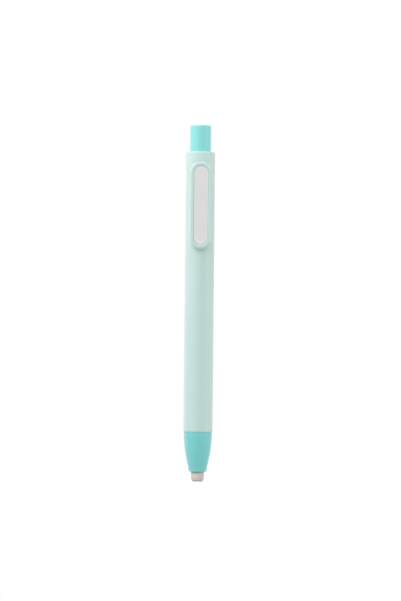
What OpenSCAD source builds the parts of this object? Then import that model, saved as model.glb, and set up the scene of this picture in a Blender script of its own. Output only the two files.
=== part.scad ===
// Push-button eraser stick: a round barrel with a pocket clip, a screw-on nose cone,
// and a sprung collet inside that feeds a round eraser core out of the nose.
// It lies on its side with the clip up. Y runs along the stick, with the eraser's
// tip towards -Y and the push button towards +Y, and Z = 0 is the table.

/* [Barrel] */
// Outside diameter of the barrel
barrel_d = 11.5; // [11.3:0.1:13]
// Length of the barrel
barrel_len = 110; // [100:1:130]
// Wall of the barrel
barrel_wall = 1; // [0.8:0.05:1.1]
// Rounding of the outer edge at the barrel's top rim
barrel_rim_r = 0.4; // [0.1:0.05:0.6]
// Rounding of the outer edge at the barrel's front end
barrel_seam_r = 0.12; // [0.05:0.01:0.2]
// Thickness of the inner shoulder that the return spring stands on
shoulder_t = 1.2; // [0.8:0.1:2]

/* [Nose cone] */
// Length of the cone in front of the barrel
cone_len = 15.7; // [15:0.1:18]
// Diameter of the cone where it meets the barrel
cone_d = 11.1; // [10.9:0.1:11.3]
// Radius of the long curve on the cone's side
ogive_r = 52; // [46:1:80]
// Length of that curve, from the seam forward
ogive_len = 11.5; // [9:0.1:13]
// Half angle of the straight taper in front of the curve, in degrees
taper_deg = 12; // [8:0.5:13]
// Rounding of the edge round the mouth
mouth_edge_r = 0.2; // [0.1:0.05:0.4]
// Length of the plain bore behind the mouth
mouth_lip = 1.1; // [0.6:0.1:1.5]
// Radial gap between the mouth and the eraser
mouth_gap = 0.12; // [0.05:0.01:0.2]
// Length of the threaded spigot that goes into the barrel
spigot_len = 6.4; // [5:0.1:8]
// Radial gap between the spigot and the barrel's socket
thread_gap = 0.05; // [0.02:0.01:0.1]

/* [Eraser] */
// Diameter of the eraser core
eraser_d = 5; // [4.6:0.1:5.1]
// Length of the eraser core
eraser_len = 88; // [60:1:100]
// How far the eraser stands out of the mouth
eraser_out = 3.8; // [2:0.1:6]
// Rounding of the eraser's worn end
eraser_edge_r = 0.75; // [0.2:0.05:1.2]
// Length of the soft ring that brakes the eraser
brake_len = 2.6; // [2:0.1:3]
// Wall of the soft ring
brake_wall = 0.4; // [0.3:0.05:0.45]

/* [Push button] */
// Diameter of the push button
button_d = 8.3; // [8.1:0.1:8.5]
// How far the button stands out of the barrel
button_out = 10.5; // [9:0.1:14]
// Travel of the button
button_stroke = 4; // [3:0.1:4.5]
// Rounding of the button's top edge
button_edge_r = 0.65; // [0.2:0.05:0.9]
// Thickness of the button's closed top
button_top_t = 1.4; // [1:0.1:2.5]
// Length of the tapered lead-in below the barrel's rim
lead_in_len = 0.5; // [0.3:0.1:0.8]
// How far the lead-in is drawn in
lead_in_draw = 0.2; // [0.1:0.05:0.3]
// Radial gap between the button and the tail bush
button_gap = 0.05; // [0.03:0.01:0.08]

/* [Push tube] */
// Radial gap between the eraser and the push tube
tube_gap = 0.25; // [0.15:0.05:0.35]
// Wall of the push tube
tube_wall = 0.7; // [0.5:0.05:0.75]
// Depth of the push tube in the button
tube_grip = 5; // [3:0.5:7]
// Length of the coupling between the tube and the chuck
coupling_len = 8; // [6:0.5:12]
// Wall of the coupling
coupling_wall = 0.65; // [0.5:0.05:0.8]
// Radial gap between the push tube and its guides
guide_gap = 0.05; // [0.03:0.01:0.08]
// Length of the narrow guide in the tail bush
guide_len = 3.4; // [2:0.1:6]

/* [Chuck] */
// Length of a jaw, from its tip to its root
jaw_len = 9.3; // [8.5:0.1:11]
// Outside radius of a jaw's head beyond the eraser
head_rise = 1; // [0.9:0.02:1.06]
// Outside radius of a jaw's neck beyond the eraser
neck_rise = 0.5; // [0.45:0.01:0.55]
// Half angle of the head's taper, in degrees
chuck_deg = 10; // [9:0.5:12]
// Length of the plain band at a jaw's tip
head_land = 0.3; // [0.2:0.05:0.5]
// Radial gap between the closed jaws and the eraser
grip_gap = 0.02; // [0.01:0.005:0.03]
// Width of the slit between two jaws
slit_w = 0.6; // [0.4:0.05:0.9]
// Length of the clutch ring
ring_len = 3.5; // [3.2:0.1:4.5]
// Wall of the clutch ring over the heads of the jaws
ring_wall = 0.44; // [0.35:0.01:0.48]
// Travel of the clutch ring to its stop
ring_travel = 1.6; // [1.2:0.1:2]

/* [Return spring] */
// Length of the spring with the button at rest
spring_len = 18; // [15:0.5:24]
// Diameter of the spring's wire
wire_d = 0.5; // [0.35:0.05:0.6]
// Number of curls
spring_curls = 9; // [6:1:12]
// Radial gap between the spring and the chuck inside it
spring_gap = 0.2; // [0.1:0.05:0.3]

/* [Clip] */
// Width of the clip
clip_w = 8.8; // [8:0.1:9.6]
// Length of the clip
clip_len = 34.3; // [28:0.1:45]
// Distance from the barrel's rim to the clip
clip_drop = 4.1; // [3.4:0.1:4.6]
// Gap between the barrel and the clip's hollow underside
clip_lift = 0.8; // [0.6:0.05:1.2]
// Thickness of the clip over the barrel's crown
clip_t = 2; // [1.8:0.1:2.6]
// Depth of the clip's side walls
clip_side = 3.2; // [2.6:0.05:3.4]
// Rounding of the clip's top edge
clip_edge_r = 0.75; // [0.3:0.05:0.85]
// Width of the recessed field on the clip
field_w = 5.6; // [5:0.1:6]
// Distance from the clip's top end to the field
field_top = 1.6; // [1.4:0.1:3]
// Distance from the field's point to the clip's lower end
field_foot = 1.3; // [1.2:0.1:3]
// Length of the field's pointed end
field_point = 2.2; // [1.5:0.1:3]
// Depth of the recessed field
field_depth = 0.4; // [0.3:0.05:0.6]
// Thickness of the bare plate in the field
plate_t = 0.28; // [0.15:0.01:0.29]
// Gap round the plate
plate_gap = 0.1; // [0.05:0.01:0.2]
// Gap between the plate's point and the field's
plate_foot_gap = 0.7; // [0.2:0.1:1.2]
// Width of the clip's foot
foot_w = 4.6; // [3.6:0.1:5]
// Length of the clip's foot along the barrel
foot_len = 4.4; // [3:0.1:4.8]
// How far the foot's barbs reach past the slot, at each end
barb_len = 0.5; // [0.3:0.05:0.6]
// Thickness of the barbs
barb_t = 0.45; // [0.3:0.05:0.5]
// Radius of the rib under the clip's lower end
rib_r = 1.2; // [1:0.05:1.5]
// Width of that rib
rib_w = 4; // [3:0.1:5]
// Distance of the rib from the clip's lower end
rib_in = 4; // [3:0.1:8]
// Gap between the rib and the barrel
rib_gap = 0.1; // [0.05:0.01:0.3]

/* [Hidden] */
$fn = 96;
fine = 360;
// how far a cutting shape runs past the face it cuts
past = 1;
// hairline left between faces that would otherwise lie on each other
hair = 0.02;
// end play that is left at each stop
stop_gap = 0.05;

mint = "#c6dcd7";
teal = "#86d8d4";
eraser_grey = "#d8d4cf";
plate_grey = "#dad9d7";
moulded_white = "#ededea";
brass = "#c9a14a";
steel = "#b9bcc0";
rubber = "#6f7276";

// radii, from the eraser outwards
eraser_r = eraser_d / 2;
mouth_r = eraser_r + mouth_gap;
jaw_in_r = eraser_r + grip_gap;
brake_in_r = eraser_r + grip_gap;
brake_out_r = brake_in_r + brake_wall;
neck_r = eraser_r + neck_rise;
head_r = eraser_r + head_rise;
tube_in_r = eraser_r + tube_gap;
tube_out_r = tube_in_r + tube_wall;
coupling_out_r = tube_out_r + coupling_wall;
wire_r = wire_d / 2;
// the wire runs straight from ring to ring, so its inside is nearest halfway between two
curl_steps = 8;
helix_r = (tube_out_r + spring_gap) / cos(180 / curl_steps) + wire_r;
ring_in_r = head_r + hair / 2;
ring_neck_r = neck_r + 0.15;
ring_out_r = ring_in_r + ring_wall;
jaw_room_r = head_r + 0.25;
ring_room_r = ring_out_r + 0.1;
barrel_r = barrel_d / 2;
bore_r = barrel_r - barrel_wall;
shoulder_r = tube_out_r + 0.15;
spigot_r = bore_r - thread_gap;
cone_r = cone_d / 2;
button_r = button_d / 2;
tail_r = button_r + button_gap;
clip_in_r = barrel_r + clip_lift;
clip_top = clip_in_r + clip_t;

// stations along the stick, counted from the eraser's tip
mouth_s = eraser_out;
brake_s = mouth_s + mouth_lip;
brake_end_s = brake_s + brake_len;
pocket_end_s = brake_end_s + 0.1;
jaw_room_s = pocket_end_s + 1.2;
jaw_tip_s = jaw_room_s + 0.2 + button_stroke;
ring_s = jaw_tip_s + head_land;
ring_stop_s = ring_s - ring_travel - stop_gap;
jaw_root_s = jaw_tip_s + jaw_len;
chuck_s = jaw_root_s + 0.06;
seam_s = mouth_s + cone_len;
ogive_end_s = seam_s - ogive_len;
spigot_end_s = seam_s + spigot_len;
shoulder_s = spigot_end_s + 0.1;
spring_s = shoulder_s + shoulder_t;
coupling_s = spring_s + spring_len;
tube_s = coupling_s + coupling_len / 2;
rim_s = seam_s + barrel_len;
button_s = rim_s - stop_gap - lead_in_len;
bush_ledge_s = button_s - button_stroke - stop_gap;
bush_s = bush_ledge_s - guide_len;
tube_end_s = button_s + tube_grip;
overall = rim_s + button_out;
clip_end_s = rim_s - clip_drop;
clip_start_s = clip_end_s - clip_len;
foot_end_s = bush_s - barb_len - stop_gap;
foot_s = foot_end_s - foot_len;
rib_s = clip_start_s + rib_in;

// the cone's radius where its long curve ends, and at its mouth
ogive_end_r = cone_r - ogive_r + sqrt(pow(ogive_r, 2) - pow(ogive_len, 2));
mouth_out_r = ogive_end_r - (ogive_end_s - mouth_s - mouth_edge_r) * tan(taper_deg);
head_taper_len = (head_r - neck_r) / tan(chuck_deg);
ring_taper_len = (ring_in_r - ring_neck_r) / tan(chuck_deg);
jaw_deg = 120 - 2 * asin(slit_w / 2 / jaw_in_r);

// children are drawn with their Z along the stick, from its tip
module on_axis(station = 0)
    translate([0, station - overall / 2, barrel_r]) rotate([-90, 0, 0]) children();

// children are drawn upright, from a point on the stick's axis
module above_axis(station = 0)
    translate([0, station - overall / 2, barrel_r]) children();

// outline of a turned end, with its outer edge rounded
module rounded_end(radius, from, to, edge) {
    translate([0, from]) square([radius, to - from - edge]);
    translate([0, from]) square([radius - edge, to - from]);
    translate([radius - edge, to - edge]) circle(edge);
}

// outline of a tube between two stations
module tube_outline(inner, outer, from, to)
    translate([inner, from]) square([outer - inner, to - from]);

module bore_outline(radius, from, to)
    translate([0, from]) square([radius, to - from]);

module barrel_outline()
    difference() {
        union() {
            rounded_end(barrel_r, seam_s + barrel_len / 2, rim_s, barrel_rim_r);
            translate([0, 2 * seam_s + barrel_len / 2]) mirror([0, 1])
                rounded_end(barrel_r, seam_s - hair, seam_s + barrel_len / 2, barrel_seam_r);
        }
        bore_outline(shoulder_r, shoulder_s - past, spring_s + past);
        bore_outline(bore_r, seam_s - past, shoulder_s);
        bore_outline(bore_r, spring_s, rim_s + past);
    }

// cut through the barrel's wall that the clip's foot goes through
module foot_slot()
    above_axis(foot_s - hair)
        translate([-foot_w / 2 - hair, 0, 0])
            cube([foot_w + 2 * hair, foot_len + 2 * hair, barrel_r + past]);

module barrel() {
    color(mint)
        difference() {
            on_axis() rotate_extrude() barrel_outline();
            foot_slot();
        }
}

module tail_bush() {
    color(moulded_white) on_axis() rotate_extrude() {
        tube_outline(tube_out_r + guide_gap, bore_r, bush_s, bush_ledge_s);
        tube_outline(tail_r, bore_r, bush_ledge_s, rim_s - 2 * stop_gap);
    }
}

// solid between the stick's axis and a radius, under the clip's footprint
module foot_block(width, from, to, radius)
    intersection() {
        above_axis(from) translate([-width / 2, 0, 0]) cube([width, to - from, clip_top]);
        on_axis(from - past) cylinder(r = radius, h = to - from + 2 * past);
    }

module clip_foot() {
    color(mint)
        difference() {
            union() {
                foot_block(foot_w, foot_s, foot_end_s, clip_in_r - hair);
                foot_block(foot_w, foot_s - barb_len, foot_end_s + barb_len, bore_r - hair);
            }
            on_axis(foot_s - past - barb_len)
                cylinder(r = bore_r - hair - barb_t, h = foot_len + 2 * (past + barb_len));
        }
}

// half of the clip's section, from its middle plane to its side
module clip_half_outline()
    translate([0, clip_top - clip_side]) rounded_end(clip_w / 2, 0, clip_side, clip_edge_r);

module clip_outline() {
    clip_half_outline();
    mirror([1, 0]) clip_half_outline();
}

// the field's outline seen from above: a round top, straight sides and a pointed end
module field_outline(inset, foot_inset)
    intersection() {
        hub = clip_len - field_top - field_w / 2;
        point = field_foot + foot_inset;
        corner = point + field_point;
        union() {
            translate([0, hub]) circle(field_w / 2 - inset);
            translate([-field_w / 2 + inset, 0]) square([field_w - 2 * inset, hub]);
        }
        polygon([[0, point], [field_w / 2, corner], [field_w / 2, clip_len],
                 [-field_w / 2, clip_len], [-field_w / 2, corner]]);
    }

module clip() {
    color(mint)
        difference() {
            union() {
                difference() {
                    above_axis(clip_start_s) union() {
                        translate([0, clip_len - clip_w / 2, 0]) rotate([90, 0, 0])
                            linear_extrude(clip_len - clip_w) clip_outline();
                        translate([0, clip_w / 2, 0]) rotate_extrude() clip_half_outline();
                        translate([0, clip_len - clip_w / 2, 0]) rotate_extrude() clip_half_outline();
                    }
                    on_axis(clip_start_s - past) cylinder(r = clip_in_r, h = clip_len + 2 * past);
                }
                above_axis(rib_s) translate([-rib_w / 2, 0, barrel_r + rib_gap + rib_r])
                    rotate([0, 90, 0]) cylinder(r = rib_r, h = rib_w);
            }
            above_axis(clip_start_s) translate([0, 0, clip_top - field_depth])
                linear_extrude(field_depth + past) field_outline(0, 0);
        }
}

module label_plate() {
    color(plate_grey) above_axis(clip_start_s) translate([0, 0, clip_top - field_depth])
        linear_extrude(plate_t) field_outline(plate_gap, plate_foot_gap);
}

module push_button() {
    color(teal) on_axis() rotate_extrude() difference() {
        union() {
            rounded_end(button_r, rim_s - stop_gap, overall, button_edge_r);
            polygon([[0, button_s], [button_r - lead_in_draw, button_s],
                     [button_r, rim_s - stop_gap], [0, rim_s - stop_gap]]);
        }
        bore_outline(tube_out_r, button_s - past, tube_end_s);
        bore_outline(tube_in_r, tube_end_s - hair, overall - button_top_t);
    }
}

module push_tube() {
    color(moulded_white) on_axis() rotate_extrude()
        tube_outline(tube_in_r, tube_out_r, tube_s, tube_end_s);
}

module tube_coupling() {
    color(moulded_white) on_axis() rotate_extrude()
        tube_outline(tube_out_r, coupling_out_r, coupling_s, coupling_s + coupling_len);
}

module chuck_body() {
    color(brass) on_axis() rotate_extrude()
        tube_outline(mouth_r, tube_out_r, chuck_s, tube_s);
}

// one finger of the collet, with its head outside and its grip inside
module jaw_outline()
    polygon([[jaw_in_r, jaw_tip_s], [head_r, jaw_tip_s], [head_r, ring_s],
             [neck_r, ring_s + head_taper_len], [neck_r, jaw_root_s], [jaw_in_r, jaw_root_s]]);

// the first jaw points up, and the others follow at a third of a turn
module chuck_jaw(index) {
    color(brass) on_axis() rotate([0, 0, -90 - 120 * index - jaw_deg / 2])
        rotate_extrude(angle = jaw_deg) jaw_outline();
}

module clutch_ring() {
    color(steel) on_axis() rotate_extrude()
        polygon([[ring_in_r, ring_s], [ring_out_r, ring_s], [ring_out_r, ring_s + ring_len],
                 [ring_neck_r, ring_s + ring_len], [ring_neck_r, ring_s + ring_taper_len]]);
}

wire_sides = 6;
spring_rise = spring_len - wire_d - 2 * hair;
spring_pitch = spring_rise / spring_curls;
spring_rings = spring_curls * curl_steps;
lead_deg = atan(spring_pitch / (2 * PI * helix_r));

function spring_point(i) =
    let (turn = i * 360 / curl_steps)
    [helix_r * cos(turn), helix_r * sin(turn), spring_s + wire_r + hair + i * spring_pitch / curl_steps];

// corner of the wire's section: out from the helix, or across the wire's own direction
function wire_corner(i, j) =
    let (turn = i * 360 / curl_steps, around = j * 360 / wire_sides,
         out = [cos(turn), sin(turn), 0],
         across = [sin(lead_deg) * sin(turn), -sin(lead_deg) * cos(turn), cos(lead_deg)])
    spring_point(i) + wire_r * (cos(around) * out + sin(around) * across);

spring_points = [for (i = [0 : spring_rings]) for (j = [0 : wire_sides - 1]) wire_corner(i, j)];
spring_faces = concat(
    [[for (j = [0 : wire_sides - 1]) j]],
    [for (i = [0 : spring_rings - 1]) for (j = [0 : wire_sides - 1])
        let (k = (j + 1) % wire_sides, low = i * wire_sides, high = low + wire_sides)
        each [[low + j, high + j, low + k], [low + k, high + j, high + k]]],
    [[for (j = [wire_sides - 1 : -1 : 0]) spring_rings * wire_sides + j]]);

// least distance between points of the wire that are at least half a curl apart
spring_gap_to_itself = min([for (i = [0 : spring_rings]) for (k = [i + curl_steps / 2 : 1 : spring_rings])
    norm(spring_point(i) - spring_point(k))]) - wire_d;
echo("least gap of the spring to itself, mm", spring_gap_to_itself);

module return_spring() {
    color(steel) on_axis() polyhedron(points = spring_points, faces = spring_faces);
}

module eraser_core() {
    color(eraser_grey) on_axis() rotate_extrude() {
        translate([0, eraser_len / 2]) mirror([0, 1])
            rounded_end(eraser_r, 0, eraser_len / 2, eraser_edge_r);
        bore_outline(eraser_r, eraser_len / 2 - hair, eraser_len);
    }
}

module eraser_brake() {
    color(rubber) on_axis() rotate_extrude()
        tube_outline(brake_in_r, brake_out_r, brake_s, brake_end_s);
}

module cone_outline() {
    intersection() {
        translate([cone_r - ogive_r, seam_s]) circle(ogive_r, $fn = fine);
        translate([0, ogive_end_s]) square([cone_r, ogive_len]);
    }
    polygon([[0, mouth_s + mouth_edge_r], [mouth_out_r, mouth_s + mouth_edge_r],
             [ogive_end_r, ogive_end_s], [ogive_end_r, ogive_end_s + hair], [0, ogive_end_s + hair]]);
    translate([mouth_out_r - mouth_edge_r, mouth_s + mouth_edge_r]) circle(mouth_edge_r);
    bore_outline(mouth_out_r - mouth_edge_r, mouth_s, mouth_s + mouth_edge_r + hair);
    bore_outline(spigot_r, seam_s - hair, spigot_end_s);
}

module nose_cone() {
    color(teal) on_axis() rotate_extrude() difference() {
        cone_outline();
        bore_outline(mouth_r, mouth_s - past, brake_s + hair);
        polygon([[0, brake_s], [brake_out_r, brake_s], [brake_out_r, pocket_end_s],
                 [jaw_room_r, jaw_room_s], [jaw_room_r, ring_stop_s], [ring_room_r, ring_stop_s],
                 [ring_room_r, spigot_end_s + past], [0, spigot_end_s + past]]);
    }
}

barrel();
tail_bush();
clip_foot();
clip();
label_plate();
push_button();
push_tube();
tube_coupling();
chuck_body();
chuck_jaw(0);  // chuck_jaw_1
chuck_jaw(1);  // chuck_jaw_2
chuck_jaw(2);  // chuck_jaw_3
clutch_ring();
return_spring();
eraser_core();
eraser_brake();
nose_cone();
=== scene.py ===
"""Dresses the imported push-button eraser stick: its pieces, their finishes, the light, the camera.

Shapes are made in millimetres in the stick's own frame: x to the right, y the station counted
from the eraser's tip, and z the height above the stick's axis. They go to metres at the end.
"""

import logging
import math
from dataclasses import dataclass
from enum import Enum
from functools import cache
from typing import Any, Callable, Iterable, Optional, Sequence

import bmesh
import bpy
from mathutils import Matrix, Vector


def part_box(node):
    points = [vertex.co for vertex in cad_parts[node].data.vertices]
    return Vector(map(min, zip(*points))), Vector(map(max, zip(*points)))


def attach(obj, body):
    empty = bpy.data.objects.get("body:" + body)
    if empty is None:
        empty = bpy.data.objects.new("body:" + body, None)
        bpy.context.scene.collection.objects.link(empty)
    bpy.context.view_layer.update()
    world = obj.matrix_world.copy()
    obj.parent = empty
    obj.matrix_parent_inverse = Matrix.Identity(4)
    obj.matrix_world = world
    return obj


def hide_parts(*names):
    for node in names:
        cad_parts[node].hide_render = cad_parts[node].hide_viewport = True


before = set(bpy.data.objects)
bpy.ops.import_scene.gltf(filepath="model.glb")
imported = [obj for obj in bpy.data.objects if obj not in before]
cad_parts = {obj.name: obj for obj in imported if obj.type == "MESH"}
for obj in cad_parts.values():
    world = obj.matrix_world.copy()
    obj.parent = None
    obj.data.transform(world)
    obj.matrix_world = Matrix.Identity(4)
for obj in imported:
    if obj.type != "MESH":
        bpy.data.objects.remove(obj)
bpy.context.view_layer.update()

log = logging.getLogger("eraser_stick")

MM = 0.001  # metres in a millimetre
ROUND = 144  # steps in a full turn
WELD = 1e-4  # millimetres within which points are merged
NEAR = 0.02  # millimetres within which a point counts as on an edge
SHARP_EDGE = math.radians(32)
TIP_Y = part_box("eraser_core")[0][1]
AXIS_Z = round(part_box("barrel")[1][2] / 2, 5)
ACROSS, ALONG, UP = Vector((1, 0, 0)), Vector((0, 1, 0)), Vector((0, 0, 1))
WHITE = (1.0, 1.0, 1.0, 1.0)


class Body(Enum):
    """The moving bodies that pieces ride on."""

    BARREL = "barrel"
    CLIP = "clip"
    BUTTON = "button"
    ERASER = "eraser"
    NOSE = "nose"


class Slot(Enum):
    """The record's names for the stick's materials."""

    MINT = "barrel_plastic"
    TEAL = "teal_plastic"
    LABEL = "label_film"
    WHITE = "inner_plastic"
    VINYL = "eraser_vinyl"


class Cut(Enum):
    """How one shape is worked into another."""

    AWAY = "DIFFERENCE"
    ON = "UNION"


@dataclass(frozen=True)
class Span:
    """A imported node's stations, half width and heights over the axis, in millimetres."""

    start: float
    end: float
    radius: float
    bottom: float
    top: float

    @classmethod
    def of(cls, node: str) -> "Span":
        """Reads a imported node's box.

        Args:
            node: the node's name.

        Returns:
            Where it lies.
        """
        low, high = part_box(node)
        stations = [round((corner[1] - TIP_Y) / MM, 2) for corner in (low, high)]
        heights = [round((corner[2] - AXIS_Z) / MM, 2) for corner in (low, high)]
        return cls(*stations, round(max(-low[0], high[0]) / MM, 2), *heights)

    @property
    def length(self) -> float:
        """How long the node is along the stick."""
        return self.end - self.start


# Shader maths


class Value:
    """A number that varies over a surface, on which Python's operators add Math nodes."""

    def __init__(self, nodes: "Nodes", socket: bpy.types.NodeSocket) -> None:
        """Wraps one output socket of a tree."""
        self.nodes = nodes
        self.socket = socket

    def math(self, operation: str, *terms: Any, clamp: bool = False) -> "Value":
        """Adds one Math node.

        Args:
            operation: what the node works out.
            terms: its inputs, each a Value or a number.
            clamp: whether the result is kept between 0 and 1.

        Returns:
            The node's output.
        """
        made = self.nodes.node("ShaderNodeMath", dict(enumerate(terms)), operation=operation,
                               use_clamp=clamp)
        return Value(self.nodes, made.outputs[0])

    def __add__(self, other: Any) -> "Value":
        """Adds."""
        return self.math("ADD", self, other)

    def __radd__(self, other: Any) -> "Value":
        """Adds to a plain number."""
        return self.math("ADD", other, self)

    def __sub__(self, other: Any) -> "Value":
        """Subtracts."""
        return self.math("SUBTRACT", self, other)

    def __rsub__(self, other: Any) -> "Value":
        """Subtracts from a plain number."""
        return self.math("SUBTRACT", other, self)

    def __mul__(self, other: Any) -> "Value":
        """Multiplies."""
        return self.math("MULTIPLY", self, other)

    def __rmul__(self, other: Any) -> "Value":
        """Multiplies a plain number."""
        return self.math("MULTIPLY", other, self)

    def __pow__(self, other: Any) -> "Value":
        """Raises to a power."""
        return self.math("POWER", self, other)

    def clamped(self) -> "Value":
        """The value kept between 0 and 1."""
        return self.math("ADD", self, 0.0, clamp=True)

    def sine(self) -> "Value":
        """The value's sine."""
        return self.math("SINE", self)

    def larger(self, other: Any) -> "Value":
        """The larger of this and another value."""
        return self.math("MAXIMUM", self, other)


class Nodes:
    """A node tree while it is put together."""

    def __init__(self, tree: bpy.types.NodeTree) -> None:
        """Takes on a tree."""
        self.tree = tree

    def node(self, kind: str, inputs: Optional[dict[Any, Any]] = None,
             **settings: Any) -> bpy.types.Node:
        """Adds a node.

        Args:
            kind: the node's type.
            inputs: values or links for its sockets, by the socket's name or number.
            settings: its own settings, set before its sockets.

        Returns:
            The node.
        """
        made = self.tree.nodes.new(kind)
        for name, given in settings.items():
            setattr(made, name, given)
        for name, given in (inputs or {}).items():
            self.feed(made.inputs[name], given)
        return made

    def feed(self, socket: bpy.types.NodeSocket, given: Any) -> None:
        """Sets a socket to a value, or links it.

        Args:
            socket: the input socket.
            given: a Value, an output socket or a plain value.
        """
        if isinstance(given, Value):
            given = given.socket
        if isinstance(given, bpy.types.NodeSocket):
            self.tree.links.new(given, socket)
        else:
            socket.default_value = given

    def show(self, output: str, lit: bpy.types.Node, plain: bpy.types.Node,
             share: float = 1.0) -> None:
        """Shows the camera, mirrors and glass a plain shader in place of the lit one.

        Args:
            output: the tree's output node.
            lit: the shader that takes part in the light.
            plain: the shader that is seen.
            share: how much of the plain one is seen.
        """
        path = self.node("ShaderNodeLightPath")
        rays = ("Is Camera Ray", "Is Glossy Ray", "Is Transmission Ray")
        camera, mirror, glass = (Value(self, path.outputs[ray]) for ray in rays)
        seen = camera.larger(mirror).larger(glass) * share
        mix = self.node("ShaderNodeMixShader", {0: seen, 1: lit.outputs[0], 2: plain.outputs[0]})
        self.feed(self.tree.nodes[output].inputs["Surface"], mix.outputs[0])


class Recipe(Nodes):
    """A material while it is put together, with a Principled shader in it."""

    noise_roughness: float = 0.55
    bump_strength: float = 0.6

    def __init__(self, name: str) -> None:
        """Starts the material.

        Args:
            name: the material's name.
        """
        self.material = bpy.data.materials.new(name)
        self.material.use_nodes = True
        super().__init__(self.material.node_tree)
        self.shader = self.tree.nodes["Principled BSDF"]
        self.place = self.node("ShaderNodeTexCoord").outputs["Object"]

    def paint(self, **inputs: Any) -> None:
        """Feeds the shader's sockets, named with underscores for spaces."""
        for name, given in inputs.items():
            self.feed(self.shader.inputs[name.replace("_", " ")], given)

    def noise(self, size: float, stretch: float = 1, detail: float = 2,
              offset: float = 0) -> Value:
        """Noise whose blotches are about as wide as a given size.

        Args:
            size: width of a blotch in millimetres.
            stretch: how much longer the blotches are along the stick.
            detail: octaves of finer noise.
            offset: shift of the pattern, in blotches, so that two noises differ.

        Returns:
            The noise, which has a mean of 0.5.
        """
        per_metre = 1 / (size * MM)
        placed = self.node("ShaderNodeMapping", {
            "Vector": self.place, "Location": (offset, offset, offset),
            "Scale": (per_metre, per_metre / stretch, per_metre)})
        noise = self.node("ShaderNodeTexNoise", {
            "Vector": placed.outputs["Vector"], "Scale": 1.0, "Detail": detail,
            "Roughness": self.noise_roughness})
        return Value(self, noise.outputs["Fac"])

    def station(self) -> Value:
        """The place along the stick in millimetres, counted from the eraser's tip."""
        split = self.node("ShaderNodeSeparateXYZ", {"Vector": self.place})
        return (Value(self, split.outputs["Y"]) - TIP_Y) * (1 / MM)

    def blend(self, factor: Value, first: Any, second: Any) -> bpy.types.NodeSocket:
        """Mixes two colours or colour sockets: 0 gives the first, 1 the second."""
        # inputs 6 and 7 and output 2 are the node's colour sockets
        mix = self.node("ShaderNodeMix", {0: factor, 6: first, 7: second}, data_type="RGBA")
        return mix.outputs[2]

    def bump(self, height: Value, depth: float) -> None:
        """Roughens the surface by a height field of a given depth in millimetres."""
        bump = self.node("ShaderNodeBump", {
            "Strength": self.bump_strength, "Distance": depth * MM, "Height": height})
        self.paint(Normal=bump.outputs["Normal"])


def colour(code: str, lift: float = 1.0) -> tuple[float, ...]:
    """Turns a colour as it is written on screen into the shader's linear one.

    Args:
        code: six hexadecimal digits.
        lift: a factor on the linear colour.

    Returns:
        Red, green, blue and alpha.
    """
    parts = [int(code[i:i + 2], 16) / 255 for i in (0, 2, 4)]
    linear = [p / 12.92 if p <= 0.04045 else ((p + 0.055) / 1.055) ** 2.4 for p in parts]
    return (*[min(1.0, c * lift) for c in linear], 1.0)


# Finishes


@dataclass(frozen=True)
class Finish:
    """A named surface, whose main colour varies between a darker and a lighter shade."""

    name: str
    code: str
    darkest: float = 0.95
    lightest: float = 1.05

    def varied(self, made: Recipe, factor: Value) -> bpy.types.NodeSocket:
        """The main colour, varied from its darkest to its lightest shade."""
        dark, light = colour(self.code, self.darkest), colour(self.code, self.lightest)
        return made.blend(factor, dark, light)

    def dress(self, made: Recipe) -> None:
        """Dresses a new material."""
        raise NotImplementedError


@dataclass(frozen=True)
class MouldedPlastic(Finish):
    """A soft-gloss moulded plastic, finely grained, mottled and streaked, its edges a pale haze."""

    roughness: float = 0.42
    refraction: float = 1.49
    grain: float = 0.22
    grain_depth: float = 0.006
    mottle_dulling: float = 0.1
    streaking: float = 0.3
    streak_dulling: float = 0.16
    gloss: float = 0.75
    gloss_roughness: float = 0.3
    haze: float = 0.8
    haze_roughness: float = 0.45
    depth: float = 0.12
    depth_reach: float = 0.6

    def dress(self, made: Recipe) -> None:
        """Dresses a new material.

        Args:
            made: the material.
        """
        mottle = made.noise(size=9, stretch=2.2)
        streaks = made.noise(size=0.5, stretch=30, offset=3)
        grain = made.noise(self.grain, offset=7)
        shade = (mottle * (1 - self.streaking) + streaks * self.streaking).clamped()
        base = self.varied(made, shade)
        satin = self.roughness + (streaks - 0.5) * self.streak_dulling
        satin = satin + (mottle - 0.5) * self.mottle_dulling
        made.paint(Base_Color=base, Roughness=satin.clamped(), IOR=self.refraction)
        made.paint(Coat_Weight=self.gloss, Coat_Roughness=self.gloss_roughness)
        made.paint(Sheen_Weight=self.haze, Sheen_Roughness=self.haze_roughness)
        made.paint(Subsurface_Weight=self.depth, Subsurface_Radius=(1.0, 1.0, 1.0),
                   Subsurface_Scale=self.depth_reach * MM)
        made.bump(grain, self.grain_depth)


@dataclass(frozen=True)
class LabelFilm(Finish):
    """The bare plate's finish: a dull pearl film with a very fine grain along it."""

    roughness: float = 0.4
    brushing: float = 0.4
    brush_dulling: float = 0.2
    brush_depth: float = 0.003
    gloss: float = 0.15
    gloss_roughness: float = 0.25

    def dress(self, made: Recipe) -> None:
        """Dresses a new material.

        Args:
            made: the material.
        """
        cloud = made.noise(size=3.5, stretch=1.6)
        brushed = made.noise(size=0.12, stretch=14, offset=5)
        shade = (cloud * (1 - self.brushing) + brushed * self.brushing).clamped()
        made.paint(Base_Color=self.varied(made, shade))
        made.paint(Roughness=self.roughness + (brushed - 0.5) * self.brush_dulling)
        made.paint(Coat_Weight=self.gloss, Coat_Roughness=self.gloss_roughness)
        made.bump(brushed, self.brush_depth)


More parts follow.
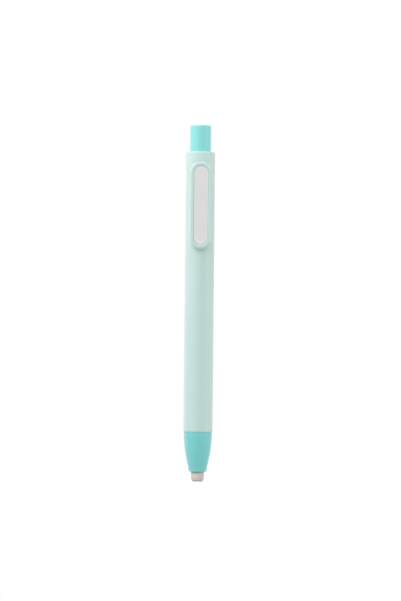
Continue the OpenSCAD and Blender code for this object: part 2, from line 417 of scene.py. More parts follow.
@dataclass(frozen=True)
class TurnedMetal(Finish):
    """A lathe-turned metal, with fine tool rings round the stick's axis."""

    tarnish: str = "6b5a3a"
    roughness: float = 0.26
    ring_pitch: float = 0.16
    ring_wobble: float = 3.0
    ring_dulling: float = 0.08
    ring_depth: float = 0.004
    staining: float = 0.35
    stain_gain: float = 2.4
    stain_level: float = 1.3
    stain_dulling: float = 0.2

    def dress(self, made: Recipe) -> None:
        """Dresses a new material.

        Args:
            made: the material.
        """
        wobble = made.noise(size=1.2)
        phase = made.station() * (2 * math.pi / self.ring_pitch) + wobble * self.ring_wobble
        rings = phase.sine() * 0.5 + 0.5
        blots = made.noise(size=1.8, detail=4, offset=11)
        stains = (blots * self.stain_gain - self.stain_level).clamped()
        tarnished = made.blend(stains * self.staining, colour(self.code), colour(self.tarnish))
        dull = self.roughness + rings * self.ring_dulling + stains * self.stain_dulling
        made.paint(Base_Color=tarnished, Roughness=dull.clamped(), Metallic=1.0)
        made.bump(rings, self.ring_depth)


@dataclass(frozen=True)
class DrawnWire(Finish):
    """Bright drawn spring wire with a light film of oil."""

    darkest: float = 0.85
    lightest: float = 1.1
    roughness: float = 0.16
    film_dulling: float = 0.2
    scratch_depth: float = 0.003

    def dress(self, made: Recipe) -> None:
        """Dresses a new material.

        Args:
            made: the material.
        """
        film = made.noise(size=0.8, detail=3)
        scratches = made.noise(size=0.08, stretch=6, offset=2)
        made.paint(Base_Color=self.varied(made, film))
        made.paint(Roughness=(self.roughness + film * self.film_dulling).clamped(), Metallic=1.0)
        made.bump(scratches, self.scratch_depth)


@dataclass(frozen=True)
class EraserVinyl(Finish):
    """Soft eraser vinyl, dull and faintly pitted, rubbed pink and grey towards its end; a darker
    band by the nose's mouth is painted shade, partly grime.
    """

    darkest: float = 0.94
    lightest: float = 1.06
    roughness: float = 0.72
    blush: str = "dab2ac"
    blushing: float = 0.55
    blush_gain: float = 1.6
    blush_spread: float = 3.2
    # graphite dirt's colour, also used for the band of painted shade by the nose's mouth
    graphite_and_shade: str = "7d7a76"
    smudging: float = 0.4
    smudge_gain: float = 3.2
    smudge_level: float = 1.2
    smudge_fade: float = 1.3
    worn_from: float = 1.9
    # a band of painted shade, partly graphite grime, where the eraser leaves the nose's mouth
    shade_and_grime: float = 0.55
    shade_and_grime_at: float = 3.7
    shade_and_grime_width: float = 0.45
    pit_dulling: float = 0.2
    pit_depth: float = 0.03
    unworn_pits: float = 0.35
    depth: float = 0.2
    depth_reach: float = 0.8

    def dress(self, made: Recipe) -> None:
        """Dresses a new material.

        Args:
            made: the material.
        """
        cloud = made.noise(size=1.6, detail=3)
        pits = made.noise(size=0.16, detail=3, offset=4)
        smudge = made.noise(size=0.7, stretch=0.7, detail=4, offset=9)
        station = made.station()
        worn = ((self.worn_from - station) * (1 / self.worn_from)).clamped()
        # the band by the mouth: painted shadow of the cone's lip, partly grime
        away = station - self.shade_and_grime_at
        shade_and_grime = (1 - away * away * self.shade_and_grime_width ** -2).clamped() * self.shade_and_grime
        pink = (cloud * self.blush_gain).clamped() * (worn * self.blush_spread).clamped()
        dirt = (smudge * self.smudge_gain - self.smudge_level).clamped() * worn ** self.smudge_fade
        base = self.varied(made, cloud)
        base = made.blend(pink * self.blushing, base, colour(self.blush))
        # graphite dirt near the tip, and the band of painted shade by the mouth
        dark = (dirt * self.smudging).larger(shade_and_grime)
        base = made.blend(dark, base, colour(self.graphite_and_shade))
        made.paint(Base_Color=base, Roughness=(self.roughness + pits * self.pit_dulling).clamped())
        made.paint(Subsurface_Weight=self.depth, Subsurface_Radius=(1.0, 0.9, 0.8),
                   Subsurface_Scale=self.depth_reach * MM)
        made.bump(pits * (self.unworn_pits + worn * (1 - self.unworn_pits)), self.pit_depth)


@dataclass(frozen=True)
class SoftRubber(Finish):
    """The brake ring's dark rubber, with a dull bloom."""

    darkest: float = 0.8
    lightest: float = 1.25
    roughness: float = 0.65
    bloom_dulling: float = 0.25
    grain_depth: float = 0.01

    def dress(self, made: Recipe) -> None:
        """Dresses a new material.

        Args:
            made: the material.
        """
        bloom = made.noise(size=0.9, detail=4)
        made.paint(Base_Color=self.varied(made, bloom))
        made.paint(Roughness=(self.roughness + bloom * self.bloom_dulling).clamped())
        made.bump(made.noise(size=0.15, offset=6), self.grain_depth)


class Look(Enum):
    """Every finish on the stick."""

    MINT = MouldedPlastic("mint_plastic", "c5e0d9")
    # the cone and the button are one teal plastic: the button's lighter copy is painted light, the
    # cone's darker copy painted shade, for the light falling off towards the nose
    CONE_TEAL_PAINTED_SHADE = MouldedPlastic("cone_teal_painted_shade", "76d3d1", haze=0.4)
    BUTTON_TEAL_PAINTED_LIGHT = MouldedPlastic("button_teal_painted_light", "84deda", haze=0.4)
    WHITE = MouldedPlastic("white_plastic", "ececea", roughness=0.5, gloss=0.1)
    FILM = LabelFilm("pearl_film", "e2e2df")
    FILM_RIM = LabelFilm("pearl_film_rim", "ebeae8", roughness=0.34)
    BRASS = TurnedMetal("turned_brass", "d3ad62")
    STEEL = TurnedMetal("turned_steel", "c2c4c6", tarnish="777b80")
    WIRE = DrawnWire("spring_wire", "c4c6c9")
    VINYL = EraserVinyl("eraser_vinyl", "d8d6cf")
    RUBBER = SoftRubber("brake_rubber", "6f7276")

    @cache
    def material(self) -> bpy.types.Material:
        """Builds the finish's material, once.

        Returns:
            The material.
        """
        made = Recipe(self.value.name)
        self.value.dress(made)
        return made.material


# Mesh making


def new_object(name: str, data: bpy.types.ID) -> bpy.types.Object:
    """Puts a new object into the scene.

    Args:
        name: its name.
        data: its mesh, camera or light.

    Returns:
        The object.
    """
    made = bpy.data.objects.new(name, data)
    bpy.context.scene.collection.objects.link(made)
    return made


class Shape:
    """A closed shape in the making, in millimetres in the stick's own frame."""

    def __init__(self) -> None:
        """Starts with nothing."""
        self.mesh = bmesh.new()

    def corner(self, x: float, station: float, height: float) -> bmesh.types.BMVert:
        """Adds a single point."""
        return bmesh.ops.create_vert(self.mesh, co=(x, station, height))["vert"][0]

    def chain(self, corners: Sequence[bmesh.types.BMVert]) -> None:
        """Joins each point to the next by an edge."""
        for first, second in zip(corners, corners[1:]):
            self.mesh.edges.new((first, second))

    def section(self, points: Sequence[tuple[float, float]],
                closed: bool = False) -> list[bmesh.types.BMVert]:
        """Draws part of a turned shape's section over the axis.

        Args:
            points: each corner's station and radius.
            closed: whether the last corner is joined to the first.

        Returns:
            The corners.
        """
        corners = [self.corner(0, station, radius) for station, radius in points]
        self.chain(corners + corners[:1] if closed else corners)
        return corners

    def arc(self, start: bmesh.types.BMVert, centre: Vector, axis: Vector, angle: float,
            steps: int) -> bmesh.types.BMVert:
        """Sweeps a point round a centre, leaving a chain of edges.

        Args:
            start: the point.
            centre: the arc's centre.
            axis: the axis that it turns about.
            angle: how far it turns, in radians.
            steps: how many edges the arc gets.

        Returns:
            The arc's last point.
        """
        swept = bmesh.ops.spin(self.mesh, geom=[start], cent=centre, axis=axis, angle=angle,
                               steps=steps)["geom_last"]
        return [part for part in swept if isinstance(part, bmesh.types.BMVert)][0]

    def turn(self, steps: int = ROUND) -> None:
        """Turns the section that was drawn once round the stick's axis."""
        bmesh.ops.spin(self.mesh, geom=self.mesh.verts[:] + self.mesh.edges[:], axis=ALONG,
                       angle=2 * math.pi, steps=steps, use_merge=True)
        self.close()

    def fill(self, edges: Iterable[bmesh.types.BMEdge]) -> None:
        """Fills a flat outline, leaving open any outline drawn inside it."""
        bmesh.ops.triangle_fill(self.mesh, use_beauty=True, edges=list(edges))

    def skin(self, outlines: Sequence[list[bmesh.types.BMEdge]]) -> list[bmesh.types.BMFace]:
        """Joins each outline to the next by a band of faces, and gives the faces."""
        bands = [bmesh.ops.bridge_loops(self.mesh, edges=low + high)["faces"]
                 for low, high in zip(outlines, outlines[1:])]
        return [face for band in bands for face in band]

    def close(self) -> None:
        """Welds the seam and points every face outwards."""
        bmesh.ops.remove_doubles(self.mesh, verts=self.mesh.verts[:], dist=WELD)
        bmesh.ops.recalc_face_normals(self.mesh, faces=self.mesh.faces[:])

    def edges_where(self, test: Callable[[Vector], bool]) -> list[bmesh.types.BMEdge]:
        """The edges whose two ends both pass a test on their place."""
        return [e for e in self.mesh.edges if all(test(v.co) for v in e.verts)]

    def soften_ring(self, station: float, radius: float, width: float, steps: int = 2) -> None:
        """Rounds over the circular edge at a station and radius.

        Args:
            station: the edge's station.
            radius: its radius.
            width: how wide the rounding is.
            steps: how many facets it gets.
        """
        ring = self.edges_where(lambda p: abs(p.y - station) < NEAR
                                and abs(math.hypot(p.x, p.z) - radius) < NEAR)
        self.soften(ring, width, steps)

    def soften(self, edges: list[bmesh.types.BMEdge], width: float, steps: int) -> None:
        """Rounds over some edges."""
        bmesh.ops.bevel(self.mesh, geom=edges, offset=width, affect="EDGES", segments=steps,
                        profile=0.5, material=-1, clamp_overlap=True)

    def trim(self, place: Vector, facing: Vector) -> None:
        """Cuts off what lies beyond a plane, and closes the cut.

        Args:
            place: a point on the plane.
            facing: the way to the side that goes.
        """
        whole = self.mesh.verts[:] + self.mesh.edges[:] + self.mesh.faces[:]
        cut = bmesh.ops.bisect_plane(self.mesh, geom=whole, dist=WELD, plane_co=place,
                                     plane_no=facing, clear_outer=True)["geom_cut"]
        rim = [part for part in cut if isinstance(part, bmesh.types.BMEdge)]
        bmesh.ops.contextual_create(self.mesh, geom=rim)

    def move(self, x: float, station: float, height: float) -> None:
        """Moves the whole shape."""
        bmesh.ops.translate(self.mesh, vec=(x, station, height), verts=self.mesh.verts[:])

    def stretch(self, x: float, station: float, height: float) -> None:
        """Stretches the whole shape from the origin."""
        bmesh.ops.scale(self.mesh, vec=(x, station, height), verts=self.mesh.verts[:])

    def work(self, tool: "Shape", how: Cut) -> None:
        """Cuts another closed shape out of this one, or joins it on.

        Args:
            tool: the other shape.
            how: which of the two.
        """
        whole, other = (new_object("blank", shape.as_mesh("blank")) for shape in (self, tool))
        change = whole.modifiers.new("work", "BOOLEAN")
        change.operation, change.solver, change.object = how.value, "EXACT", other
        bpy.context.view_layer.update()
        graph = bpy.context.evaluated_depsgraph_get()
        worked = bpy.data.meshes.new_from_object(whole.evaluated_get(graph))
        self.mesh.free()
        self.mesh = bmesh.new()
        self.mesh.from_mesh(worked)
        for blank in (whole, other):
            bpy.data.objects.remove(blank)
        bpy.data.meshes.remove(worked)
        self.close()

    def as_mesh(self, name: str) -> bpy.types.Mesh:
        """Copies the shape into a mesh.

        Args:
            name: the mesh's name.

        Returns:
            The mesh.
        """
        mesh = bpy.data.meshes.new(name)
        self.mesh.to_mesh(mesh)
        return mesh

    def piece(self, name: str, body: Body, slot: Slot, nodes: Sequence[str], *looks: Look) -> None:
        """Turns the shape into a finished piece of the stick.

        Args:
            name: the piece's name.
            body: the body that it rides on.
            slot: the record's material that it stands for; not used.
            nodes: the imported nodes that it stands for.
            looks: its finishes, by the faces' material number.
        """
        to_frame = Matrix.Translation((0, TIP_Y, AXIS_Z)) @ Matrix.Scale(MM, 4)
        for face in self.mesh.faces:
            face.smooth = True
        for edge in self.mesh.edges:
            edge.smooth = len(edge.link_faces) == 2 and edge.calc_face_angle(0) < SHARP_EDGE
        bmesh.ops.transform(self.mesh, matrix=to_frame, verts=self.mesh.verts[:])
        made = new_object(name, self.as_mesh(name))
        self.mesh.free()
        for look in looks:
            made.data.materials.append(look.material())
        level = made.modifiers.new("even_shading", "WEIGHTED_NORMAL")
        level.keep_sharp = True
        level.weight = 100
        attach(made, body.value)
        if nodes:
            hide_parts(*nodes)
        log.info("%s: %d faces, rides on %s, stands for %s", name, len(made.data.polygons),
                 body.value, ", ".join(nodes) or "nothing")


def quarter(radius: float, steps: int) -> list[tuple[float, float]]:
    """Points round a rounded edge: how far each lies in from the wall and down from the top."""
    turns = [math.pi / 2 * step / steps for step in range(steps + 1)]
    return [(radius * (1 - math.cos(turn)), radius * (1 - math.sin(turn))) for turn in turns]


# The stick's pieces


@dataclass
class Barrel:
    """The pale round tube, with its inner shoulder, its socket and the slot for the clip's foot."""

    tube: Span = Span.of("barrel")
    bore: float = Span.of("tail_bush").radius
    spigot_end: float = Span.of("nose_cone").end
    foot: Span = Span.of("clip_foot")
    rim_round: float = 0.6
    seam_round: float = 0.16
    inner_edge: float = 0.12
    shoulder_gap: float = 0.1
    shoulder: float = 1.2
    shoulder_bore: float = 3.6
    barb: float = 0.5
    foot_play: float = 0.02
    mark_radius: float = 0.4
    mark_depth: float = 0.25
    mark_length: float = 1.5

    def turned(self) -> Shape:
        """Turns the tube and rounds its rims.

        Returns:
            The tube.
        """
        shape = Shape()
        start, end, radius = self.tube.start, self.tube.end, self.tube.radius
        low = self.spigot_end + self.shoulder_gap
        high = low + self.shoulder
        shape.section([
            (start, radius), (end, radius), (end, self.bore), (high, self.bore),
            (high, self.shoulder_bore), (low, self.shoulder_bore), (low, self.bore),
            (start, self.bore)], closed=True)
        shape.turn()
        shape.soften_ring(end, radius, self.rim_round, steps=6)
        shape.soften_ring(start, radius, self.seam_round, steps=3)
        for station in (start, end):
            shape.soften_ring(station, self.bore, self.inner_edge)
        return shape

    def slot_block(self) -> Shape:
        """Makes the block that cuts the foot's slot through the wall at the crown.

        Returns:
            The block.
        """
        block = Shape()
        bmesh.ops.create_cube(block.mesh, size=1)
        length = self.foot.length - 2 * self.barb + 2 * self.foot_play
        block.stretch(2 * (self.foot.radius + self.foot_play), length, self.tube.radius)
        block.move(0, (self.foot.start + self.foot.end) / 2, self.tube.radius)
        return block

    def mould_mark(self) -> Shape:
        """Makes what cuts the mould's shallow mark into the crown, at the seam.

        Returns:
            The mark's shape.
        """
        mark = Shape()
        bmesh.ops.create_uvsphere(mark.mesh, u_segments=24, v_segments=16, radius=1)
        mark.stretch(self.mark_radius, self.mark_length, self.mark_radius)
        mark.move(0, self.tube.start, self.tube.radius + self.mark_radius - self.mark_depth)
        return mark

    def build(self) -> None:
        """Builds and dresses the barrel."""
        shape = self.turned()
        shape.work(self.slot_block(), Cut.AWAY)
        shape.work(self.mould_mark(), Cut.AWAY)
        shape.piece("barrel_tube", Body.BARREL, Slot.MINT, ["barrel"], Look.MINT)


@dataclass
class TailBush:
    """The guide ring in the barrel's top end, whose upper face shows round the button."""

    ring: Span = Span.of("tail_bush")
    button_play: float = 0.05
    tube_play: float = 0.05
    guide: float = 3.4
    edge: float = 0.12

    def build(self) -> None:
        """Builds and dresses the bush."""
        shape = Shape()
        start, end, radius = self.ring.start, self.ring.end, self.ring.radius
        ledge = start + self.guide
        narrow = Span.of("push_tube").radius + self.tube_play
        wide = Span.of("push_button").radius + self.button_play
        shape.section([
            (start, narrow), (ledge, narrow), (ledge, wide), (end, wide), (end, radius),
            (start, radius)], closed=True)
        shape.turn()
        shape.soften_ring(end, wide, self.edge)
        shape.soften_ring(start, radius, self.edge)
        shape.piece("tail_guide", Body.BARREL, Slot.WHITE, ["tail_bush"], Look.WHITE)


@dataclass
class Clip:
    """The pocket clip: a round-ended shell over the barrel, with a bare plate in its field."""

    bar: Span = Span.of("clip")
    hollow: float = 6.55
    hollow_steps: int = 180
    overshoot: float = 1.0
    edge: float = 0.75
    edge_steps: int = 8
    low_edge: float = 0.12
    field_half: float = 2.8
    field_depth: float = 0.4
    field_top: float = 1.6
    field_foot: float = 1.3
    field_point: float = 2.2
    field_edge: float = 0.26
    point_lean: float = 0.3
    plate_gap: float = 0.1
    plate_thickness: float = 0.28
    plate_edge: float = 0.05
    border: float = 0.3
    border_foot: float = 0.5
    border_fall: float = 0.01
    border_step: float = 0.05
    rib_in: float = 4.0
    rib_radius: float = 1.2
    rib_height: float = 7.05
    rib_width: float = 4.0
    rib_edge: float = 0.2
    arc_steps: int = 36

    def bar_outline(self, shape: Shape, inset: float, height: float) -> list[bmesh.types.BMEdge]:
        """Draws the clip's round-ended outline, seen from above.

        Args:
            shape: the shape that it is drawn in.
            inset: how far it lies inside the clip's side.
            height: its height above the axis.

        Returns:
            Its edges.
        """
        known = set(shape.mesh.edges)
        half = self.bar.radius - inset
        low, high = self.bar.start + self.bar.radius, self.bar.end - self.bar.radius
        left = shape.corner(-half, low, height)
        right = shape.arc(left, Vector((0, low, height)), UP, math.pi, self.arc_steps)
        far_right = shape.corner(half, high, height)
        far_left = shape.arc(far_right, Vector((0, high, height)), UP, math.pi, self.arc_steps)
        shape.chain([right, far_right])
        shape.chain([far_left, left])
        return [edge for edge in shape.mesh.edges if edge not in known]

    def field_outline(self, shape: Shape, inset: float, height: float,
                      lift: float = 0) -> list[bmesh.types.BMEdge]:
        """Draws the field's outline, round at the top and pointed at the foot.

        Args:
            shape: the shape that it is drawn in.
            inset: how far it lies inside the field's wall.
            height: its height above the axis.
            lift: how much further up the stick its point lies.

        Returns:
            Its edges.
        """
        known = set(shape.mesh.edges)
        half = self.field_half - inset
        slope = self.field_point / self.field_half
        hub = self.bar.end - self.field_top - self.field_half
        point = self.bar.start + self.field_foot + lift + inset * math.hypot(1, slope)
        tip = shape.corner(0, point, height)
        right_foot = shape.corner(half, point + half * slope, height)
        left_foot = shape.corner(-half, point + half * slope, height)
        right_top = shape.corner(half, hub, height)
        left_top = shape.arc(right_top, Vector((0, hub, height)), UP, math.pi, self.arc_steps)
        shape.chain([left_top, left_foot, tip, right_foot, right_top])
        return [edge for edge in shape.mesh.edges if edge not in known]

    def shell(self) -> Shape:
        """Builds the clip's body with its field, and hollows its underside.

        Returns:
            The clip.
        """
        shape = Shape()
        top, bottom = self.bar.top, self.bar.bottom
        low = [self.bar_outline(shape, inset, bottom + rise)
               for inset, rise in reversed(quarter(self.low_edge, steps=2))]
        high = [self.bar_outline(shape, inset, top - drop)
                for inset, drop in quarter(self.edge, self.edge_steps)]
        lip = [self.field_outline(shape, -inset, top - drop, -self.point_lean / 2)
               for inset, drop in reversed(quarter(self.field_edge, steps=3))]
        floor = self.field_outline(shape, 0, top - self.field_depth, self.point_lean / 2)
        shape.skin(low + high)
        shape.skin(lip + [floor])
        shape.fill(low[0])
        shape.fill(high[-1] + lip[0])
        shape.fill(floor)
        shape.close()
        shape.work(self.hollow_tool(), Cut.AWAY)
        shape.work(self.rib(), Cut.ON)
        return shape

    def hollow_tool(self) -> Shape:
        """Makes the cylinder, on the stick's axis, that hollows the clip's underside.

        Returns:
            The cylinder.
        """
        tool = Shape()
        start, end = self.bar.start - self.overshoot, self.bar.end + self.overshoot
        tool.section([(start, 0), (start, self.hollow), (end, self.hollow), (end, 0)])
        tool.turn(self.hollow_steps)
        return tool

    def rib(self) -> Shape:
        """Makes the round rib across the underside that grips the pocket's cloth.

        Returns:
            The rib's lower half.
        """
        rib = Shape()
        bmesh.ops.create_cone(rib.mesh, cap_ends=True, segments=48, radius1=self.rib_radius,
                              radius2=self.rib_radius, depth=self.rib_width)
        across = Matrix.Rotation(math.pi / 2, 3, "Y")
        bmesh.ops.rotate(rib.mesh, matrix=across, verts=rib.mesh.verts[:])
        rib.move(0, self.bar.start + self.rib_in, self.rib_height)
        for side in (-1, 1):
            end = rib.edges_where(lambda p: p.x * side > self.rib_width / 2 - NEAR)
            rib.soften(end, self.rib_edge, steps=3)
        rib.trim(UP * self.rib_height, UP)
        return rib

    def plate(self) -> Shape:
        """Builds the bare plate, with a fine raised border that is wider at its point.

        Returns:
            The plate, its border marked with the second material.
        """
        shape = Shape()
        crown = self.bar.top - self.field_depth + self.plate_thickness
        steps = [(0.0, -self.plate_thickness, 0.0)]
        steps += [(inset, -drop, 0.0) for inset, drop in quarter(self.plate_edge, steps=2)]
        steps += [(self.border, -self.border_fall, self.border_foot)]
        steps += [(self.border + self.border_step, -self.border_step, self.border_foot)]
        outlines = [self.field_outline(shape, self.plate_gap + inset, crown + rise, lift)
                    for inset, rise, lift in steps]
        for face in shape.skin(outlines):
            face.material_index = 1
        shape.fill(outlines[0])
        shape.fill(outlines[-1])
        shape.close()
        return shape

    def build(self) -> None:
        """Builds and dresses the clip and its plate."""
        self.shell().piece("clip_shell", Body.CLIP, Slot.MINT, ["clip"], Look.MINT)
        self.plate().piece("clip_plate", Body.CLIP, Slot.LABEL, ["label_plate"], Look.FILM,
                           Look.FILM_RIM)


@dataclass
class PushButton:
    """The turquoise cap at the top end, with a small dimple in the middle of its top."""

    cap: Span = Span.of("push_button")
    tube: Span = Span.of("push_tube")
    lead_in: float = 0.5
    lead_draw: float = 0.2
    core_bore: float = 2.75
    ceiling: float = 1.4
    edge: float = 0.65
    dimple_radius: float = 0.75
    dimple_depth: float = 0.12
    dimple_flat: float = 0.8
    dimple_edge: float = 0.06

    def build(self) -> None:
        """Builds and dresses the button."""
        shape = Shape()
        low, top, radius = self.cap.start, self.cap.end, self.cap.radius
        step, roof, dimple = self.tube.end - NEAR, top - self.ceiling, top - self.dimple_depth
        shape.section([
            (dimple, 0), (dimple, self.dimple_radius * self.dimple_flat),
            (top, self.dimple_radius), (top, radius), (low + self.lead_in, radius),
            (low, radius - self.lead_draw), (low, self.tube.radius), (step, self.tube.radius),
            (step, self.core_bore), (roof, self.core_bore), (roof, 0)])
        shape.turn()
        shape.soften_ring(top, radius, self.edge, steps=8)
        shape.soften_ring(top, self.dimple_radius, self.dimple_edge)
        # the button takes the lighter copy of the teal plastic, which is painted light
        shape.piece("button_cap", Body.BUTTON, Slot.TEAL, ["push_button"], Look.BUTTON_TEAL_PAINTED_LIGHT)


@dataclass
class NoseCone:
    """The turquoise ogive cone, and the threaded spigot that it screws into the barrel by."""

    cone: Span = Span.of("nose_cone")
    seam: float = Span.of("barrel").start
    ogive: float = 52.0
    ogive_length: float = 11.5
    taper_deg: float = 12.0
    mouth_bore: float = 2.62
    mouth_edge: float = 0.2
    bore_edge: float = 0.1
    seam_edge: float = 0.25
    spigot_edge: float = 0.15
    lip_length: float = 1.1
    brake_bore: float = 2.92
    pocket_end: float = 7.6
    jaw_room: float = 3.75
    jaw_room_from: float = 8.8
    ring_stop: float = 11.65
    ring_room: float = 4.05
    core: float = 4.43
    crest: float = 4.70
    thread_pitch: float = 1.6
    thread_turns: float = 2.75
    thread_from: float = 20.7
    thread_base: float = 0.8
    thread_crest: float = 0.12
    thread_sunk: float = 0.05
    turn_steps: int = 96
    ogive_steps: int = 28

    def turned(self) -> Shape:
        """Turns the cone with its bores, its long curve made as one sweep.

        Returns:
            The cone.
        """
        shape = Shape()
        mouth, end, radius = self.cone.start, self.cone.end, self.cone.radius
        lip_end = mouth + self.lip_length
        start = shape.corner(0, self.seam, radius)
        swing = math.asin(self.ogive_length / self.ogive)
        curve_end = shape.arc(start, Vector((0, self.seam, radius - self.ogive)), ACROSS, swing,
                              self.ogive_steps)
        slope = math.tan(math.radians(self.taper_deg))
        mouth_radius = curve_end.co.z - (curve_end.co.y - mouth) * slope
        inside = shape.section([
            (mouth, mouth_radius), (mouth, self.mouth_bore), (lip_end, self.mouth_bore),
            (lip_end, self.brake_bore), (self.pocket_end, self.brake_bore),
            (self.jaw_room_from, self.jaw_room), (self.ring_stop, self.jaw_room),
            (self.ring_stop, self.ring_room), (end, self.ring_room), (end, self.core),
            (self.seam, self.core)])
        shape.chain([curve_end, inside[0]])
        shape.chain([inside[-1], start])
        shape.turn()
        shape.soften_ring(mouth, mouth_radius, self.mouth_edge, steps=5)
        shape.soften_ring(mouth, self.mouth_bore, self.bore_edge)
        shape.soften_ring(self.seam, radius, self.seam_edge)
        shape.soften_ring(end, self.core, self.spigot_edge)
        return shape

    def thread(self) -> Shape:
        """Winds the spigot's thread.

        Returns:
            The thread, its root sunk into the spigot.
        """
        shape = Shape()
        root = self.core - self.thread_sunk
        flank = (self.thread_base - self.thread_crest) / 2
        low = self.thread_from
        shape.section([
            (low, root), (low + flank, self.crest), (low + flank + self.thread_crest, self.crest),
            (low + self.thread_base, root)], closed=True)
        bmesh.ops.contextual_create(shape.mesh, geom=shape.mesh.edges[:])
        drawn = shape.mesh.verts[:] + shape.mesh.edges[:] + shape.mesh.faces[:]
        steps = int(self.turn_steps * self.thread_turns)
        bmesh.ops.spin(shape.mesh, geom=drawn, axis=ALONG, steps=steps,
                       dvec=ALONG * (self.thread_pitch / self.turn_steps),
                       angle=self.thread_turns * 2 * math.pi)
        shape.close()
        return shape

    def build(self) -> None:
        """Builds and dresses the cone and its thread."""
        # the cone takes the darker copy of the teal plastic, which is painted shade
        self.turned().piece("cone_shell", Body.NOSE, Slot.TEAL, ["nose_cone"], Look.CONE_TEAL_PAINTED_SHADE)
        self.thread().piece("cone_thread", Body.NOSE, Slot.TEAL, [], Look.CONE_TEAL_PAINTED_SHADE)


@dataclass(frozen=True)
class Rub:
    """A flat that rubbing has left on the eraser's edge."""

    reach: float
    station: float
    lean_deg: float
    around_deg: float


@dataclass
class EraserCore:
    """The round eraser, with the end that stands out of the nose worn unevenly."""

    core: Span = Span.of("eraser_core")
    edge: float = 0.55
    turn_steps: int = 96
    wear: tuple[Rub, ...] = (
        Rub(2.13, 0.55, 58, 0), Rub(2.05, 0.3, 42, 60), Rub(2.1, 0.3, 38, 125),
        Rub(2.12, 0.42, 50, 180), Rub(2.1, 0.3, 36, 235), Rub(2.08, 0.3, 40, 300))

    def rub(self, shape: Shape, wear: Rub) -> None:
        """Rubs one flat off the tip's edge.

        Args:
            shape: the eraser.
            wear: where and how the flat lies.
        """
        turn, lean = math.radians(wear.around_deg), math.radians(wear.lean_deg)
        out = Vector((math.cos(turn), 0, math.sin(turn)))
        shape.trim(out * wear.reach + ALONG * wear.station,
                   out * math.sin(lean) - ALONG * math.cos(lean))

    def build(self) -> None:
        """Builds and dresses the eraser."""
        shape = Shape()
        start, end, radius = self.core.start, self.core.end, self.core.radius
        shape.section([(start, 0), (start, radius), (end, radius), (end, 0)])
        shape.turn(self.turn_steps)
        shape.soften_ring(start, radius, self.edge, steps=7)
        for wear in self.wear:
            self.rub(shape, wear)
        shape.piece("eraser_stick", Body.ERASER, Slot.VINYL, ["eraser_core"], Look.VINYL)


class Works:
    """The hidden works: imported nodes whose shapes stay, each given its finish."""

    def build(self) -> None:
        """Gives each hidden node its finish."""
        dressed = {
            "clip_foot": Look.MINT, "push_tube": Look.WHITE, "tube_coupling": Look.WHITE,
            "chuck_body": Look.BRASS, "chuck_jaw_1": Look.BRASS, "chuck_jaw_2": Look.BRASS,
            "chuck_jaw_3": Look.BRASS, "clutch_ring": Look.STEEL, "return_spring": Look.WIRE,
            "eraser_brake": Look.RUBBER}
        for name, look in dressed.items():
            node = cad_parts[name]
            if not node.material_slots:
                node.data.materials.append(None)
            for slot in node.material_slots:
                slot.link = "OBJECT"
                slot.material = look.material()
            log.info("%s: kept as packed, finished as %s", name, look.value.name)


# Camera and light


@dataclass
class PhotoCamera:
    """The photograph's camera: high above the stick, a little to its left and towards its nose."""

    target: tuple[float, float, float] = (0.54, 1.08, 5.75)
    distance: float = 1500.0
    view_height: float = 236.3
    left_deg: float = 2.4
    nose_deg: float = 1.2
    roll_deg: float = 0.56
    sensor: float = 36.0

    def build(self) -> None:
        """Makes the camera and hands it to the scene."""
        lean = (math.sin(math.radians(angle)) for angle in (self.left_deg, self.nose_deg))
        back = Vector((*[-part for part in lean], 1)).normalized()
        up = (ALONG - ALONG.dot(back) * back).normalized()
        right = up.cross(back)
        roll = Matrix.Rotation(math.radians(self.roll_deg), 4, "Z")
        turn = Matrix((right, up, back)).transposed().to_4x4() @ roll
        data = bpy.data.cameras.new("photo_camera")
        data.sensor_width = self.sensor
        data.lens = self.sensor * self.distance / self.view_height
        camera = new_object("photo_camera", data)
        place = (Vector(self.target) + back * self.distance) * MM
        camera.matrix_world = Matrix.Translation(place) @ turn
        bpy.context.scene.camera = camera
        log.info("camera: %.0f mm lens at %.2f m", data.lens, self.distance * MM)


@dataclass(frozen=True)
class Lamp:
    """One soft lamp that faces the stick, sized along the stick and upright."""

    name: str
    place: tuple[float, float, float]
    power: float
    width: float
    height: float
    code: str = "ffffff"

    def hang(self) -> None:
        """Hangs the lamp."""
        data = bpy.data.lights.new(self.name, "AREA")
        data.energy, data.color = self.power, colour(self.code)[:3]
        data.shape, data.size, data.size_y = "RECTANGLE", self.width, self.height
        lamp = new_object(self.name, data)
        lamp.location = self.place
        lamp.rotation_mode = "QUATERNION"
        aim = Vector((0, 0, AXIS_Z)) - Vector(self.place)
        lamp.rotation_quaternion = aim.to_track_quat("-Z", "Y")
        log.info("%s: %.1f W, %.2f x %.2f m", self.name, self.power, self.width, self.height)


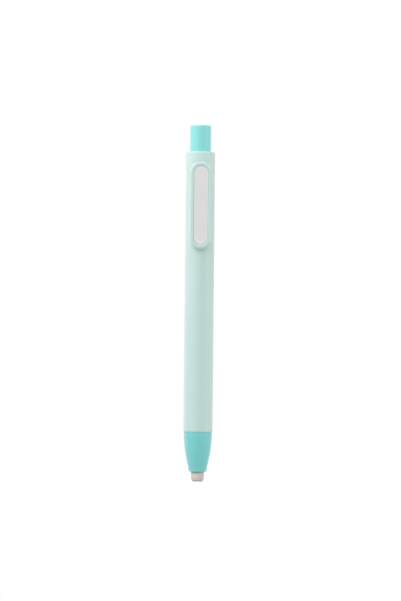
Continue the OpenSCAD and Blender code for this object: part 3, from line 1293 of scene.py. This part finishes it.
@dataclass
class Studio:
    """A white sweep under six soft lamps, the broadest of them on the left, by the button."""

    sky: float = 0.585
    sky_code: str = "fbfdff"
    floor_code: str = "fafafa"
    floor_white: float = 0.985
    floor_size: float = 3.0
    floor_cloud: float = 40.0
    floor_shade: float = 0.98
    floor_roughness: float = 0.9
    lamps: tuple[Lamp, ...] = (
        Lamp("key_lamp", (-0.40, 0.45, 0.40), 1.60, 0.90, 0.66, "fbfbff"),
        Lamp("left_lamp", (-0.36, 0.32, 0.28), 0.18, 0.40, 0.30),
        Lamp("left_edge_lamp", (-0.32, 0.28, 0.06), 0.50, 0.50, 0.11),
        Lamp("top_lamp", (-0.25, 0.60, 0.90), 1.00, 0.50, 0.50),
        Lamp("right_high_lamp", (0.70, 0.55, 0.85), 0.98, 0.50, 0.50),
        Lamp("right_low_lamp", (0.42, 0.10, 0.14), 0.28, 0.40, 0.26))

    def world(self) -> None:
        """Lights the stick evenly from all round, and shows plain white behind it."""
        world = bpy.data.worlds.new("white_sky")
        world.use_nodes = True
        made = Nodes(world.node_tree)
        light = made.node("ShaderNodeBackground", {
            "Color": colour(self.sky_code), "Strength": self.sky})
        plain = made.node("ShaderNodeBackground", {"Color": WHITE, "Strength": 1.0})
        made.show("World Output", light, plain)
        bpy.context.scene.world = world

    def floor(self) -> None:
        """Lays the white floor, which keeps the stick's soft shadow."""
        sheet = bmesh.new()
        bmesh.ops.create_grid(sheet, x_segments=1, y_segments=1, size=self.floor_size / 2)
        mesh = bpy.data.meshes.new("white_floor")
        sheet.to_mesh(mesh)
        sheet.free()
        floor = new_object("white_floor", mesh)
        made = Recipe("white_floor")
        shade, white = colour(self.floor_code, self.floor_shade), colour(self.floor_code)
        made.paint(Base_Color=made.blend(made.noise(self.floor_cloud), shade, white))
        made.paint(Roughness=self.floor_roughness)
        plain = made.node("ShaderNodeEmission", {"Color": WHITE, "Strength": 1.0})
        made.show("Material Output", made.shader, plain, self.floor_white)
        mesh.materials.append(made.material)

    def build(self) -> None:
        """Sets up the sky, the floor and the lamps."""
        self.world()
        self.floor()
        for lamp in self.lamps:
            lamp.hang()
        bpy.context.scene.view_settings.view_transform = "Standard"


def main() -> None:
    """Builds the stick piece by piece, then its light and camera."""
    logging.basicConfig(level=logging.INFO, format="%(name)s: %(message)s")
    PhotoCamera().build()
    for part in (Barrel(), TailBush(), Clip(), PushButton(), NoseCone(), EraserCore(), Works()):
        part.build()
    Studio().build()


if __name__ == "__main__":
    main()
